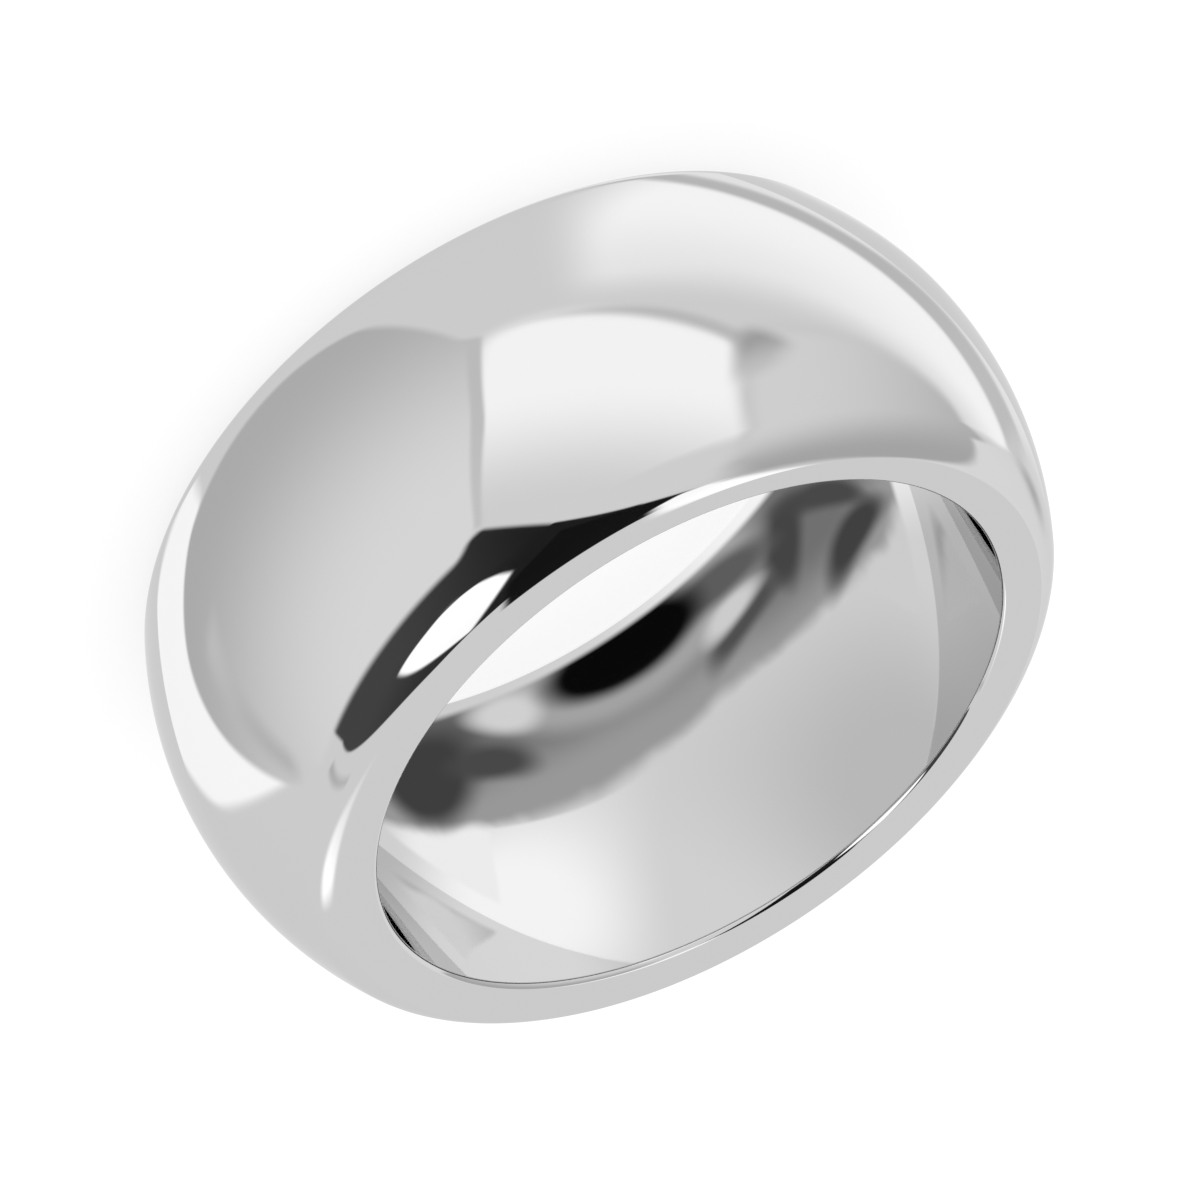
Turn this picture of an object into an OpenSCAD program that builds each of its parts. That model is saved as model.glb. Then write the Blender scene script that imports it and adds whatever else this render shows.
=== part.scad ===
// Plain dome ring, one solid of polished white metal, lying on its side.
// Millimetres. +Z runs up the finger hole, +Y points to the top of the ring,
// and the origin is the middle of the finger hole on the face that it rests on.

/* [Finger hole] */
// Diameter of the finger hole
finger_d = 18.6; // [14:0.1:23]
// Radius of the rounded lip at both ends of the finger hole
lip_r = 0.15; // [0.1:0.05:0.6]

/* [Band] */
// Thickness of the metal from the finger hole to the crest of the dome
wall = 2.9; // [2.7:0.05:4.5]
// Width of the band between its side faces at the top of the ring
width_top = 10.4; // [9.6:0.05:12]
// Width of the band between its side faces at the back of the ring
width_back = 10.2; // [9.6:0.05:12]

/* [Dome] */
// Radius of the arc across the crown of the dome
crown_r = 10.4; // [9:0.1:16]
// Radius of the arc from the crown round to each side face
shoulder_r = 1.4; // [0.8:0.05:2]

/* [Hidden] */
$fn = 180;

// How far the shoulder arcs run on past the lower face and past the widest part of the upper one
lower_run_on = 0.11;
upper_run_on = 0.01;
// How far the shoulder arc stands proud of the crown's, so that the two cross and don't just touch
proud = 0.002;
// How far the arc of a lip reaches past the wall of the finger hole, so that it meets the wall at an angle
lip_past = 0.003;
// How far a cutting shape reaches past what it cuts
past = 1;

bore_r = finger_d / 2;
crest_r = bore_r + wall;
width_mid = (width_top + width_back) / 2;
dome_z = width_mid / 2;

// Levels from the dome's middle at which the lower and the upper shoulder arc end, where they run level
shoulder_ends = [-dome_z - lower_run_on, max(width_top, width_back) - dome_z + upper_run_on];

// Centre of the crown's arc from the finger hole's axis, and the rays from it to the shoulder arcs' centres
crown_x = crest_r - crown_r;
to_shoulder = crown_r - shoulder_r;
rays = [for (end = shoulder_ends) ray_at((end - sign(end) * shoulder_r) / to_shoulder)];
function ray_at(rise) = [sqrt(1 - rise * rise), rise];

// The lower side face is square to the finger hole, and the upper one slopes from top to back
face_slope = atan((width_top - width_back) / 2 / (crown_x + to_shoulder * rays[1].x));

// The crown's disc between the rays through the centres of the shoulder arcs
module crown_sector() {
    near = to_shoulder - past;
    far = 2 * crown_r;
    intersection() {
        circle(r = crown_r);
        polygon([near * rays[0], far * rays[0], far * rays[1], near * rays[1]]);
    }
}

// What lies between the finger hole, drawn a little small, and the centres of the shoulder arcs
module core() {
    inner = bore_r - 2 * past - crown_x;
    polygon([
        [inner, shoulder_ends[0]],
        [to_shoulder * rays[0].x, shoulder_ends[0]],
        [to_shoulder * rays[1].x, shoulder_ends[1]],
        [inner, shoulder_ends[1]],
    ]);
}

// Cross-section of the band before its side faces and its finger hole are cut
module dome_section() {
    translate([crown_x, dome_z]) {
        core();
        crown_sector();
        for (ray = rays)
            translate(to_shoulder * ray)
                circle(r = shoulder_r + proud);
    }
}

// Everything outside one side face, which lies on the XY plane with the metal below it
module beyond_face() {
    size = 2 * (crest_r + past);
    translate([-size / 2, -size / 2, 0])
        cube([size, size, size / 2]);
}

// What a rounded lip takes off the corner between the finger hole and a face on the XY plane
module lip_cut(slope) {
    widening = bore_r / cos(slope) - bore_r;
    centre = [bore_r + lip_r - lip_past - widening, -lip_r];
    rotate_extrude()
        difference() {
            translate([bore_r - past, -lip_r])
                square([centre.x - bore_r + past, lip_r + past]);
            translate(centre)
                circle(r = lip_r);
        }
}

// Puts what is drawn for a face on the XY plane at the lower side face
module at_lower_face() {
    mirror([0, 0, 1])
        children();
}

// Puts it at the upper side face, turned about the level where its lip ends in the finger hole
module at_upper_face() {
    translate([0, 0, width_mid - lip_r / cos(face_slope)])
        rotate([face_slope, 0, 0])
            translate([0, 0, lip_r])
                children();
}

module ring() {
    color([0.80, 0.80, 0.81])
        difference() {
            rotate_extrude()
                dome_section();
            translate([0, 0, -past])
                cylinder(r = bore_r, h = dome_z + shoulder_ends[1] + 2 * past);
            at_lower_face() {
                beyond_face();
                lip_cut(0);
            }
            at_upper_face() {
                beyond_face();
                lip_cut(face_slope);
            }
        }
}

ring();
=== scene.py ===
# Plain dome ring of polished white metal, lying on its side in a soft white studio.
# Metres, with the ring's own sizes in millimetres. +Z runs up the finger hole and +Y points to the
# top of the ring. The origin is the middle of the finger hole on the face that the ring rests on.
import math

import bpy
from mathutils import Matrix, Vector


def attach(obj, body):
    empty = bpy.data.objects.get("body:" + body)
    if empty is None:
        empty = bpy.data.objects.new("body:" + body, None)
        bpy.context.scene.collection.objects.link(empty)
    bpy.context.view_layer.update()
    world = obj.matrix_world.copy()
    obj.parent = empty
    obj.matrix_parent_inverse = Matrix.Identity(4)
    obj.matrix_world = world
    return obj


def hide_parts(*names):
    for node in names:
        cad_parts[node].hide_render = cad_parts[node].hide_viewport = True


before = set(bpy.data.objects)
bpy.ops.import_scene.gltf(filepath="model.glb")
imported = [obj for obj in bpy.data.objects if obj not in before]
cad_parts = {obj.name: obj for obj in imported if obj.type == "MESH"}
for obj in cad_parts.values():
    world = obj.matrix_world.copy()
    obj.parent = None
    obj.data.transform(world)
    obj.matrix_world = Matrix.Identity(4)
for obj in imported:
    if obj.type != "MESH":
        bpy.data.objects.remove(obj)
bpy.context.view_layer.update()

MM = 0.001

# The ring, as in its CAD source
BORE_R = 9.3
LIP_R = 0.15
WALL = 2.9
WIDTH_TOP = 10.4
WIDTH_BACK = 10.2
CROWN_R = 10.4
SHOULDER_R = 1.4
# How far the shoulder arcs run on past the lower and the upper side face
LOWER_RUN_ON = 0.11
UPPER_RUN_ON = 0.01
# Radius to which the polishing has rounded the edge between the dome and each side face
EDGE_R = 0.12

# Steps of the ring's mesh, round the finger hole and along each stretch of its section, and of a card's
STEPS_ROUND = 480
STEPS_HOLE = 10
STEPS_LIP = 16
STEPS_FACE = 6
STEPS_EDGE = 6
STEPS_SHOULDER = 14
STEPS_CROWN = 48
STEPS_CARD = 96

CREST_R = BORE_R + WALL
WIDTH_MID = (WIDTH_TOP + WIDTH_BACK) / 2
DOME_Z = WIDTH_MID / 2
CROWN_X = CREST_R - CROWN_R
TO_SHOULDER = CROWN_R - SHOULDER_R

# The camera, seen from the ring: its direction and how far it is rolled over in degrees, its distance
# and the nearest and farthest that it sees in metres, and its lens and sensor in millimetres
CAMERA_AZIMUTH = 115.88
CAMERA_ELEVATION = 32.79
CAMERA_ROLL = 145.68
CAMERA_DISTANCE = 0.476
CAMERA_NEAR = 0.01
CAMERA_FAR = 20
CAMERA_LENS = 542.3
SENSOR = 36

# The floor and the soft light over it, in metres and watts
FLOOR_REACH = 3
LIGHT_SIZE = 2
LIGHT_HEIGHT = 1.5
LIGHT_POWER = 14

# Greys of the studio are given as they look on a screen, from 0 to 255
FLOOR_GREY = 255
# Share of the floor's light that it gives off by itself, so that shadows on it stay faint
FLOOR_GLOW = 0.8
SKY_GREY = 250
ROOM_GREY = 203
# Share of the light that the metal mirrors, which the room and the cards make up for
METAL_SHINE = 0.75
# Tint of what the metal mirrors at a slant, so that its outline doesn't turn too bright
METAL_EDGE = 0.9
METAL_ROUGHNESS = 0.03


def linear(grey):
    """Light value of a grey as it looks on a screen."""
    share = grey / 255
    if share <= 0.04045:
        return share / 12.92
    return ((share + 0.055) / 1.055) ** 2.4


def colour(grey):
    """Neutral colour of a grey as it looks on a screen."""
    value = linear(grey)
    return (value, value, value, 1)


# The section of the ring

def shoulder_ray(end):
    """Direction from the crown's centre to the centre of the shoulder arc that ends at this level."""
    rise = (end - math.copysign(SHOULDER_R, end)) / TO_SHOULDER
    return Vector((math.sqrt(1 - rise * rise), rise))


LOWER_RAY = shoulder_ray(-DOME_Z - LOWER_RUN_ON)
UPPER_RAY = shoulder_ray(max(WIDTH_TOP, WIDTH_BACK) - DOME_Z + UPPER_RUN_ON)
FACE_SLOPE = (WIDTH_TOP - WIDTH_BACK) / 2 / (CROWN_X + TO_SHOULDER * UPPER_RAY.x)


def arc(centre, radius, start, end, steps):
    """Points and outward normals on an arc, without the last point."""
    found = []
    for step in range(steps):
        angle = start + (end - start) * step / steps
        normal = Vector((math.cos(angle), math.sin(angle)))
        found.append((centre + radius * normal, normal))
    return found


def straight(start, end, normal, steps):
    """Points and normals on a straight stretch, without the last point."""
    return [(start.lerp(end, step / steps), normal) for step in range(steps)]


def half_section(level, slope, ray):
    """Lip, side face, edge and shoulder, from the finger hole out, of the side face at this level."""
    tilt = math.atan(slope)
    stretch = math.sqrt(1 + slope * slope)
    upward = math.pi / 2 + tilt
    normal = Vector((math.cos(upward), math.sin(upward)))
    lip_x = BORE_R + LIP_R
    lip = Vector((lip_x, level + slope * lip_x - LIP_R * stretch))
    shoulder = Vector((CROWN_X, 0)) + TO_SHOULDER * ray
    inner = SHOULDER_R - EDGE_R
    room = level + slope * shoulder.x - EDGE_R * stretch - shoulder.y
    turn = math.acos(room / (inner * stretch)) - tilt
    edge = shoulder + inner * Vector((math.sin(turn), math.cos(turn)))
    edge_end = math.pi / 2 - turn
    rows = arc(lip, LIP_R, math.pi, upward, STEPS_LIP)
    rows += straight(lip + LIP_R * normal, edge + EDGE_R * normal, normal, STEPS_FACE)
    rows += arc(edge, EDGE_R, upward, edge_end, STEPS_EDGE)
    rows += arc(shoulder, SHOULDER_R, edge_end, math.atan2(ray.y, ray.x), STEPS_SHOULDER)
    return rows


def flipped(rows):
    """The same stretch of section for the lower side face, in the same order round the section."""
    mirror = Vector((1, -1))
    return [(point * mirror, normal * mirror) for point, normal in reversed(rows)]


def section(slope):
    """Closed section of the ring where its upper side face has this slope, as points and normals."""
    upper = half_section(WIDTH_MID - DOME_Z, slope, UPPER_RAY)
    lower = half_section(DOME_Z, 0, Vector((LOWER_RAY.x, -LOWER_RAY.y)))
    crown = Vector((CROWN_X, 0))
    high = math.atan2(UPPER_RAY.y, UPPER_RAY.x)
    low = math.atan2(LOWER_RAY.y, LOWER_RAY.x)
    rows = upper + arc(crown, CROWN_R, high, low, STEPS_CROWN)
    last = (crown + CROWN_R * LOWER_RAY, LOWER_RAY)
    rows += [last] + flipped(lower)
    hole_low = rows[-1][0]
    hole_high = rows[0][0]
    rows += straight(hole_low, hole_high, Vector((-1, 0)), STEPS_HOLE)[1:]
    return rows


def ring_mesh():
    """Mesh of the whole ring, a section turned round the finger hole, with exact normals."""
    points = []
    normals = []
    for turn in range(STEPS_ROUND):
        angle = 2 * math.pi * turn / STEPS_ROUND
        across = math.sin(angle)
        ahead = math.cos(angle)
        rows = section(FACE_SLOPE * ahead)
        for point, normal in rows:
            points.append((point.x * across * MM, point.x * ahead * MM, (point.y + DOME_Z) * MM))
            normals.append((normal.x * across, normal.x * ahead, normal.y))
    count = len(rows)
    faces = []
    for turn in range(STEPS_ROUND):
        here = turn * count
        there = (turn + 1) % STEPS_ROUND * count
        for row in range(count):
            following = (row + 1) % count
            faces.append((here + row, there + row, there + following, here + following))
    mesh = bpy.data.meshes.new("ring_band")
    mesh.from_pydata(points, [], faces)
    mesh.polygons.foreach_set("use_smooth", [True] * len(faces))
    mesh.update()
    mesh.normals_split_custom_set_from_vertices(normals)
    return mesh


# Materials

def join(tree, socket, value):
    """Links a socket to another one, or gives it a plain value."""
    if isinstance(value, bpy.types.NodeSocket):
        tree.links.new(value, socket)
    else:
        socket.default_value = value


def add(tree, kind, inputs=None, **settings):
    """Adds a node with its settings and inputs."""
    made = tree.nodes.new(kind)
    for name, value in settings.items():
        setattr(made, name, value)
    for name, value in (inputs or {}).items():
        join(tree, made.inputs[name], value)
    return made


def maths(tree, operation, *values):
    """Result of one sum on plain values or sockets."""
    return add(tree, "ShaderNodeMath", dict(enumerate(values)), operation=operation).outputs[0]


def vector_maths(tree, operation, *values):
    """Results of one sum on vectors or sockets."""
    return add(tree, "ShaderNodeVectorMath", dict(enumerate(values)), operation=operation).outputs


def blend(tree, mask, under, over):
    """One value painted over another where the mask is 1."""
    return add(tree, "ShaderNodeMix", {0: mask, 2: under, 3: over}, data_type="FLOAT").outputs[0]


def mirror_metal():
    """White metal polished to a mirror."""
    material = bpy.data.materials.new("polished_white_metal")
    material.use_nodes = True
    shader = material.node_tree.nodes["Principled BSDF"]
    shader.inputs["Base Color"].default_value = (METAL_SHINE, METAL_SHINE, METAL_SHINE, 1)
    shader.inputs["Specular Tint"].default_value = (METAL_EDGE, METAL_EDGE, METAL_EDGE, 1)
    shader.inputs["Metallic"].default_value = 1
    shader.inputs["Roughness"].default_value = METAL_ROUGHNESS
    return material


# The studio

def studio_axes():
    """The camera's right, up and backward directions."""
    azimuth = math.radians(CAMERA_AZIMUTH)
    elevation = math.radians(CAMERA_ELEVATION)
    roll = math.radians(CAMERA_ROLL)
    level = math.cos(elevation)
    back = Vector((math.cos(azimuth) * level, math.sin(azimuth) * level, math.sin(elevation)))
    flat = Vector((0, 0, 1)).cross(back).normalized()
    upright = back.cross(flat)
    right = math.cos(roll) * flat + math.sin(roll) * upright
    return right, back.cross(right), back


RIGHT, UP, BACK = studio_axes()


def studio_direction(point):
    """World direction of a point given as right, up and towards the camera."""
    return (point[0] * RIGHT + point[1] * UP + point[2] * BACK).normalized()


# Panels of the room that the ring mirrors, painted one over the other. Each has the softness of its rim,
# two greys, each with the direction it is met in, and its corners, in directions that are all given as
# right, up and towards the camera.
ROOM = {
    "far_panel": (
        0.3, (244, (0.3, 1, -0.9)), (226, (0.5, 1, 0)),
        [(-0.08, 1, 0.12), (0.62, 1, 0.1), (1, 0.9, -0.35), (1, 0.2, -0.45), (1, -0.6, -1),
         (0.4, -0.6, -1), (0, 0.4, -1), (-0.1, 1, -0.7), (-0.16, 1, -0.3)],
    ),
    "far_line": (
        0.09, (182, (0.44, 0.65, -1)), (190, (0.68, 0.29, -1)),
        [(-0.1, 0.6, -1), (0, 0.84, -1), (0.28, 0.91, -1), (0.45, 0.88, -1), (0.62, 0.77, -1),
         (0.73, 0.6, -1), (0.83, 0.32, -1), (0.93, 0.02, -1), (0.96, -0.2, -1), (0.4, -0.6, -1),
         (-0.1, -0.2, -1)],
    ),
    "far_wall": (
        0.12, (226, (0.3, 0.3, -1)), (222, (0.6, -0.3, -1)),
        [(-0.1, 0.5, -1), (0, 0.64, -1), (0.2, 0.67, -1), (0.34, 0.65, -1), (0.45, 0.58, -1),
         (0.5, 0.44, -1), (0.52, 0.25, -1), (0.54, 0.1, -1), (0.6, -0.2, -1), (0.35, -0.55, -1),
         (-0.1, -0.1, -1)],
    ),
    "back_wall": (
        0.14, (242, (0, 1, 0.75)), (205, (0, 0.35, 1)),
        [(-0.47, 1, 0.27), (-0.28, 1, 0.22), (0.6, 1, 0.3), (2, 1, 1), (2, -1.5, 1), (-0.5, 0.1, 1)],
    ),
    "crescent": (
        0.05, (246, (-1, 0, -1)), (246, (-1, -0.5, -0.6)),
        [(-1, 0.29, -0.9), (-0.78, 0.27, -1), (-0.55, 0.05, -1), (-0.55, -0.2, -1), (-0.85, -0.5, -1),
         (-1, -0.63, -0.7), (-1, -0.68, -0.2), (-1, -0.1, -0.4)],
    ),
    "right_wall_rim": (
        0.12, (198, (1, 0, 0.9)), (198, (1, 1, 1)),
        [(0.54, 1, 0.22), (0.8, 1, 0.75), (0.98, 0.44, 1), (1, -0.45, 0.78), (1, -0.95, 0.2),
         (1, -1, -0.3), (1, 0.41, -0.6), (0.9, 1, -0.2)],
    ),
    "right_wall": (
        0.12, (163, (1, -0.5, -0.25)), (206, (0.9, 0.8, 0.7)),
        [(0.6, 1, 0.2), (0.88, 1, 0.7), (1, 0.44, 0.94), (1, -0.45, 0.7), (1, -0.95, 0.16),
         (1, -1, -0.34), (1, 0.1, -0.57), (1, 0.45, -0.64), (1, 0.72, -0.47), (0.9, 1, -0.12)],
    ),
    "front_right": (
        0.07, (213, (1, -0.3, -0.5)), (210, (0.5, 0, -1)),
        [(1, 0.4, -0.66), (1, 0.28, -0.47), (1, 0, -0.37), (1, -0.25, -0.32), (1, -0.95, -0.33),
         (0.6, -0.9, -1), (0.1, -0.1, -1), (0.1, 0.25, -1), (0.7, 0.25, -1)],
    ),
    "frame_left": (
        0.03, (28, (0, -0.1, 1)), (64, (-1, -0.5, 0.7)),
        [(-0.5, 0.25, 1), (-0.12, 0.23, 1), (0.46, -0.31, 1), (0.95, -0.77, 1), (0.2, -1, 0.48),
         (-0.75, -1, 0.41), (-1, -0.6, 0.27)],
    ),
    "frame_right": (
        0.03, (18, (0.5, -0.5, 1)), (20, (1, -1, 0.5)),
        [(0.07, 0.06, 1), (0.46, -0.31, 1), (0.87, -0.7, 1), (1, -0.8, 0.74), (1, -0.82, 0.4),
         (0.86, -1, -0.25), (0.7, -1, -0.5), (0.5, -1, 0.36), (0.2, -1, 0.48)],
    ),
    "left_wall_rim": (
        0.035, (186, (-0.5, 1, 0.4)), (192, (-0.6, 0.3, 1)),
        [(-0.45, 1, 0.24), (-0.54, 1, 0.6), (-0.63, 1, 0.92), (-0.59, 0.7, 1), (-0.5, 0.27, 1),
         (-0.8, 0.2, 1), (-1, 0.3, 0.3), (-1, 1, 0)],
    ),
    "left_wall": (
        0.04, (213, (-1, 0.2, 1)), (171, (-1, 0.8, -0.6)),
        [(-0.52, 1, 0.24), (-0.61, 1, 0.57), (-0.72, 1, 0.9), (-0.67, 0.7, 1), (-0.54, 0.27, 1),
         (-0.61, 0.1, 1), (-1, -0.7, 0.1), (-1, -0.69, -0.2), (-1, -0.35, -0.6), (-1, -0.15, -0.77),
         (-1, 0.1, -0.87), (-1, 0.3, -0.93), (-1, 0.69, -0.75), (-1, 0.94, -0.62), (-0.9, 1, -0.5)],
    ),
    "left_fold": (
        0.1, (178, (-1, -0.5, -0.2)), (187, (-1, -0.1, -0.45)),
        [(-1, -0.68, -0.12), (-1, -0.12, -0.52), (-1, -0.02, -0.42), (-1, -0.6, -0.06)],
    ),
    "ceiling_far_seam": (
        0.07, (190, (-0.4, 1, 0.2)), (184, (0.5, 1, 0.25)),
        [(-0.5, 1, 0.27), (-0.2, 1, 0.24), (0.6, 1, 0.31),
         (0.62, 1, 0.23), (-0.2, 1, 0.16), (-0.5, 1, 0.19)],
    ),
    "ceiling_corner": (
        0.1, (158, (0.62, 1, 0.26)), (188, (0.8, 1, 0.35)),
        [(0.56, 1, 0.26), (0.7, 1, 0.58), (0.84, 1, 0.4), (0.82, 1, 0.12), (0.6, 1, 0.16)],
    ),
    "softbox": (
        0.05, (258, (-0.5, -0.5, 1)), (250, (0.4, -1, 0.3)),
        [(-0.57, -0.1, 1), (-0.42, -0.09, 1), (-0.2, -0.2, 1), (0.02, -0.4, 1), (0.29, -1.1, 1),
         (0.31, -1, 0.58), (-0.05, -1, 0.76), (-0.8, -0.86, 1), (-0.82, -0.6, 1), (-0.7, -0.2, 1)],
    ),
    "white_strip": (
        0.04, (255, (0.8, -1, 0)), (250, (1, -1, 0.3)),
        [(0.76, -1, -0.42), (0.79, -1, -0.05), (0.93, -1, 0.42),
         (1.08, -1, 0.52), (1.12, -1, 0.35), (0.86, -1, -0.35)],
    ),
    "low_seam": (
        0.06, (172, (-1, -1, 0.2)), (180, (-0.3, -1, 0.2)),
        [(-1.3, -1, 0.16), (-0.3, -1, 0.19), (-0.3, -1, 0.24), (-1.3, -1, 0.26)],
    ),
    "low_lamp": (
        0.12, (258, (-0.17, -1, -0.25)), (225, (0.05, -1, 0.1)),
        [(-0.32, -1, -0.45), (-0.02, -1, -0.25), (0.1, -1, 0.12), (-0.12, -1, 0.05), (-0.3, -1, -0.2)],
    ),
    "dark_spot_right": (
        0.2, (172, (0.88, -0.05, -1)), (185, (0.7, 0.1, -1)),
        [(0.62, 0.22, -1), (0.95, 0.15, -1), (1.1, -0.08, -1), (1.02, -0.28, -1), (0.72, -0.1, -1)],
    ),
}


# Two glowing cards under the finger hole, which show in the wall of the hole. Each has the radius and the
# middle of its disc in millimetres, its grey, and soft ovals painted one over the other. An oval has
# its softness, its grey, its middle, its reach and its turn in degrees. A softness below zero paints
# what lies outside the oval. A window is painted in the same way, with 1 for clear and 0 for closed.
# The wobble is how uneven the clouds make the rims of the ovals.
# The cards are no lamps: their greys and ovals are a painted reflection, the light and dark patches that
# the wall of the finger hole mirrors.
CLOUDS = {"Scale": 0.3, "Detail": 2, "Distortion": 0.4}
UPPER_CARD = {
    "reach": 9.62,
    "middle": (0, 0, -0.2),
    "grey": 208,
    "wobble": 0,
    "ovals": {
        "dim_left": (1.2, 184, (-9, -2), (8, 9), 0),
        "bright_right": (1.1, 243, (7.6, -2.6), (4.2, 6.2), 0),
    },
    "window": {
        "narrow": (0.1, 1, (2, -4.1), (1.75, 2.75), 0),
        "wide": (0.1, 1, (3.5, -7), (5.4, 2.3), 26),
        "rim": (-0.04, 0, (0, 0), (8.45, 8.45), 0),
    },
}
LOWER_CARD = {
    "reach": 22,
    "middle": (7, -14.5, -4),
    "grey": 204,
    "wobble": 0.15,
    "ovals": {
        "bright_right": (0.8, 236, (10.8, -3.2), (4, 6.6), 0),
        "rim": (0.14, 152, (1.8, -3.9), (7, 8), 0),
        "dark_ring": (0.6, 112, (1.4, -4.2), (5.2, 5.4), 0),
        "dark_right": (0.7, 62, (6.1, -4.2), (2.5, 2.5), 0),
        "dark_right_tail": (0.9, 72, (5, -1.2), (0.8, 1.9), 15),
        "dark_outer": (0.9, 64, (-2.1, -8.2), (3.6, 0.8), -45),
        "dark_lip": (1, 72, (0.1, -7.2), (0.7, 2.2), 0),
        "dark_inner_left": (1, 78, (-2.5, -1.8), (0.6, 2.2), 0),
        "dark_inner_far": (0.9, 68, (-1.3, -4.8), (2, 0.7), -25),
        "light_ring": (0.4, 162, (0.8, -1.6), (2.8, 2.9), 0),
        "light_left": (1, 204, (-1.85, -2), (0.5, 1.3), 0),
        "dim_inside": (0.9, 92, (-0.5, -2.9), (0.8, 1.6), -10),
        "light_right": (1, 208, (3.2, -2), (0.6, 1.2), 0),
        "black_middle": (0.5, 8, (0.8, -1.35), (1.65, 1.55), 0),
    },
    "window": {},
}


def soft_edge(tree, direction, first, second, inside, soft):
    """Mask that is 1 on the inner side of the plane through two directions and 0 beyond it."""
    normal = first.cross(second).normalized()
    if normal.dot(inside) < 0:
        normal.negate()
    side = vector_maths(tree, "DOT_PRODUCT", direction, normal)["Value"]
    limits = {"Value": side, "From Min": -soft / 2, "From Max": soft / 2}
    return add(tree, "ShaderNodeMapRange", limits, interpolation_type="SMOOTHSTEP").outputs["Result"]


def panel_mask(tree, direction, corners, soft):
    """Mask of a panel with these corners."""
    rim = [studio_direction(corner) for corner in corners]
    middle = sum(rim, Vector()).normalized()
    mask = 1
    for first, second in zip(rim, rim[1:] + rim[:1]):
        edge = soft_edge(tree, direction, first, second, middle, soft)
        mask = maths(tree, "MULTIPLY", mask, edge)
    return mask


def panel_light(tree, direction, near, far):
    """Light of a panel, which runs from one grey to another between two directions."""
    start = studio_direction(near[1])
    end = studio_direction(far[1])
    run = end - start
    limits = {
        "Value": vector_maths(tree, "DOT_PRODUCT", direction, run)["Value"],
        "From Min": start.dot(run),
        "From Max": end.dot(run),
        "To Min": linear(near[0]),
        "To Max": linear(far[0]),
    }
    return add(tree, "ShaderNodeMapRange", limits, interpolation_type="SMOOTHSTEP").outputs["Result"]


def room_world():
    """The room that the ring mirrors, and a plain pale sky for everything else."""
    world = bpy.data.worlds.new("studio")
    bpy.context.scene.world = world
    world.use_nodes = True
    tree = world.node_tree
    tree.nodes.clear()
    direction = add(tree, "ShaderNodeTexCoord").outputs["Generated"]
    value = linear(ROOM_GREY)
    for soft, near, far, corners in ROOM.values():
        mask = panel_mask(tree, direction, corners, soft)
        light = panel_light(tree, direction, near, far)
        value = blend(tree, mask, value, light)
    room = add(tree, "ShaderNodeBackground", {"Color": value, "Strength": 1 / METAL_SHINE})
    sky = add(tree, "ShaderNodeBackground", {"Color": colour(SKY_GREY)})
    mirrored = add(tree, "ShaderNodeLightPath").outputs["Is Glossy Ray"]
    shown = add(tree, "ShaderNodeMixShader", {0: mirrored, 1: sky.outputs[0], 2: room.outputs[0]})
    add(tree, "ShaderNodeOutputWorld", {"Surface": shown.outputs[0]})


def soft_oval_group():
    """Node group that gives a soft oval mask on a level card, from its place in millimetres."""
    group = bpy.data.node_groups.new("soft_oval", "ShaderNodeTree")
    for name in ("Middle", "Reach"):
        group.interface.new_socket(name, in_out="INPUT", socket_type="NodeSocketVector")
    for name in ("Turn", "Softness", "Wobble"):
        group.interface.new_socket(name, in_out="INPUT", socket_type="NodeSocketFloat")
    group.interface.new_socket("Mask", in_out="OUTPUT", socket_type="NodeSocketFloat")
    given = add(group, "NodeGroupInput").outputs
    place = add(group, "ShaderNodeNewGeometry").outputs["Position"]
    level = vector_maths(group, "MULTIPLY", place, (1 / MM, 1 / MM, 0))[0]
    offset = vector_maths(group, "SUBTRACT", level, given["Middle"])[0]
    turned = add(group, "ShaderNodeVectorRotate", {"Vector": offset, "Angle": given["Turn"]},
                 rotation_type="Z_AXIS", invert=True)
    scaled = vector_maths(group, "DIVIDE", turned.outputs[0], given["Reach"])[0]
    far = vector_maths(group, "LENGTH", scaled)["Value"]
    clouds = add(group, "ShaderNodeTexNoise", {"Vector": level, **CLOUDS}).outputs[0]
    uneven = maths(group, "SUBTRACT", clouds, 0.5)
    moved = maths(group, "MULTIPLY_ADD", uneven, given["Wobble"], far)
    half = maths(group, "MULTIPLY", given["Softness"], 0.5)
    outer = maths(group, "ADD", 1, half)
    inner = maths(group, "SUBTRACT", 1, half)
    limits = {"Value": moved, "From Min": outer, "From Max": inner}
    mask = add(group, "ShaderNodeMapRange", limits, interpolation_type="SMOOTHSTEP").outputs["Result"]
    add(group, "NodeGroupOutput", {"Mask": mask})
    return group


def painted(tree, group, value, ovals, wobble):
    """A value with soft ovals of other values painted over it."""
    for soft, other, middle, reach, turn in ovals:
        made = tree.nodes.new("ShaderNodeGroup")
        made.node_tree = group
        made.inputs["Middle"].default_value = (*middle, 0)
        made.inputs["Reach"].default_value = (*reach, 1)
        made.inputs["Turn"].default_value = math.radians(turn)
        made.inputs["Softness"].default_value = soft
        made.inputs["Wobble"].default_value = wobble
        value = blend(tree, made.outputs["Mask"], value, other)
    return value


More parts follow.
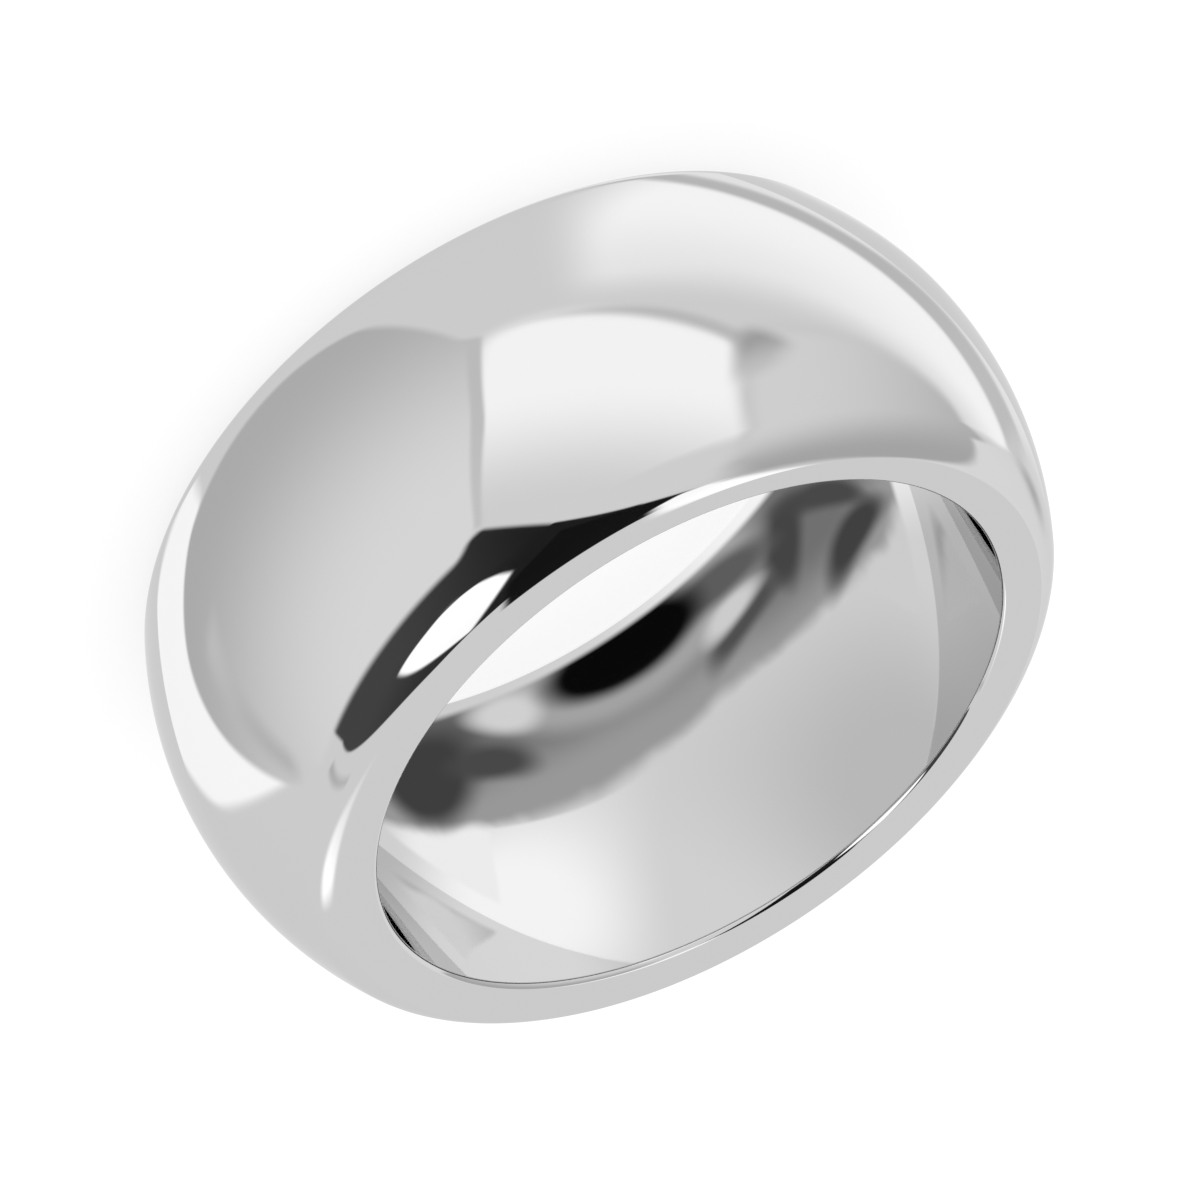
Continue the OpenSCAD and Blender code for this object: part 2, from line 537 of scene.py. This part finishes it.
def glowing_card(name, kind, group):
    """Card that glows by itself, with its ovals, and clear where its window is."""
    material = bpy.data.materials.new(name)
    material.use_nodes = True
    tree = material.node_tree
    shader = tree.nodes["Principled BSDF"]
    shader.inputs["Base Color"].default_value = (0, 0, 0, 1)
    shader.inputs["Roughness"].default_value = 1
    shader.inputs["Specular IOR Level"].default_value = 0
    shader.inputs["Emission Strength"].default_value = 1 / METAL_SHINE
    ovals = [(soft, linear(grey), *place) for soft, grey, *place in kind["ovals"].values()]
    value = painted(tree, group, linear(kind["grey"]), ovals, kind["wobble"])
    join(tree, shader.inputs["Emission Color"], value)
    if kind["window"]:
        window = painted(tree, group, 0, kind["window"].values(), 0)
        join(tree, shader.inputs["Alpha"], maths(tree, "SUBTRACT", 1, window))
    return material


def card(name, kind, group):
    """Level disc under the floor that is only seen mirrored in the ring."""
    mesh = bpy.data.meshes.new(name)
    middle = Vector(kind["middle"]) * MM
    corners = []
    for step in range(STEPS_CARD):
        angle = 2 * math.pi * step / STEPS_CARD
        corners.append(middle + kind["reach"] * MM * Vector((math.cos(angle), math.sin(angle), 0)))
    mesh.from_pydata(corners, [], [range(STEPS_CARD)])
    mesh.materials.append(glowing_card(name, kind, group))
    made = bpy.data.objects.new(name, mesh)
    bpy.context.collection.objects.link(made)
    made.visible_camera = False
    made.visible_diffuse = False
    made.visible_shadow = False


def pale_floor():
    """Matt pale surface that gives off most of its light by itself."""
    material = bpy.data.materials.new("floor")
    material.use_nodes = True
    shader = material.node_tree.nodes["Principled BSDF"]
    own = linear(FLOOR_GREY) * (1 - FLOOR_GLOW)
    shader.inputs["Base Color"].default_value = (own, own, own, 1)
    shader.inputs["Emission Color"].default_value = colour(FLOOR_GREY)
    shader.inputs["Emission Strength"].default_value = FLOOR_GLOW
    shader.inputs["Roughness"].default_value = 1
    shader.inputs["Specular IOR Level"].default_value = 0
    return material


def floor():
    """Plain pale floor, which the ring doesn't mirror because the room goes all round it."""
    mesh = bpy.data.meshes.new("floor")
    corners = [(x * FLOOR_REACH, y * FLOOR_REACH, 0) for x, y in ((-1, -1), (1, -1), (1, 1), (-1, 1))]
    mesh.from_pydata(corners, [], [(0, 1, 2, 3)])
    made = bpy.data.objects.new("floor", mesh)
    bpy.context.collection.objects.link(made)
    made.visible_glossy = False
    mesh.materials.append(pale_floor())


def soft_light():
    """One wide soft light above the ring, which lights the floor and which the ring doesn't mirror."""
    data = bpy.data.lights.new("soft_light", "AREA")
    data.shape = "DISK"
    data.size = LIGHT_SIZE
    data.energy = LIGHT_POWER
    made = bpy.data.objects.new("soft_light", data)
    bpy.context.collection.objects.link(made)
    made.location = (0, 0, LIGHT_HEIGHT)
    made.visible_glossy = False
    made.visible_camera = False


def camera():
    """Camera at the photograph's viewing angle."""
    data = bpy.data.cameras.new("camera")
    data.sensor_width = SENSOR
    data.lens = CAMERA_LENS
    data.clip_start = CAMERA_NEAR
    data.clip_end = CAMERA_FAR
    made = bpy.data.objects.new("camera", data)
    bpy.context.collection.objects.link(made)
    middle = Vector((0, 0, DOME_Z * MM))
    turn = Matrix((RIGHT, UP, BACK)).transposed().to_4x4()
    made.matrix_world = Matrix.Translation(middle + CAMERA_DISTANCE * BACK) @ turn
    bpy.context.scene.camera = made


def ring():
    """The ring itself, in place of its CAD solid."""
    made = bpy.data.objects.new("ring_band", ring_mesh())
    bpy.context.collection.objects.link(made)
    made.data.materials.append(mirror_metal())
    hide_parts("ring")
    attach(made, "root")


bpy.context.scene.view_settings.view_transform = "Standard"
ring()
floor()
room_world()
soft_oval = soft_oval_group()
card("upper_card", UPPER_CARD, soft_oval)
card("lower_card", LOWER_CARD, soft_oval)
soft_light()
camera()
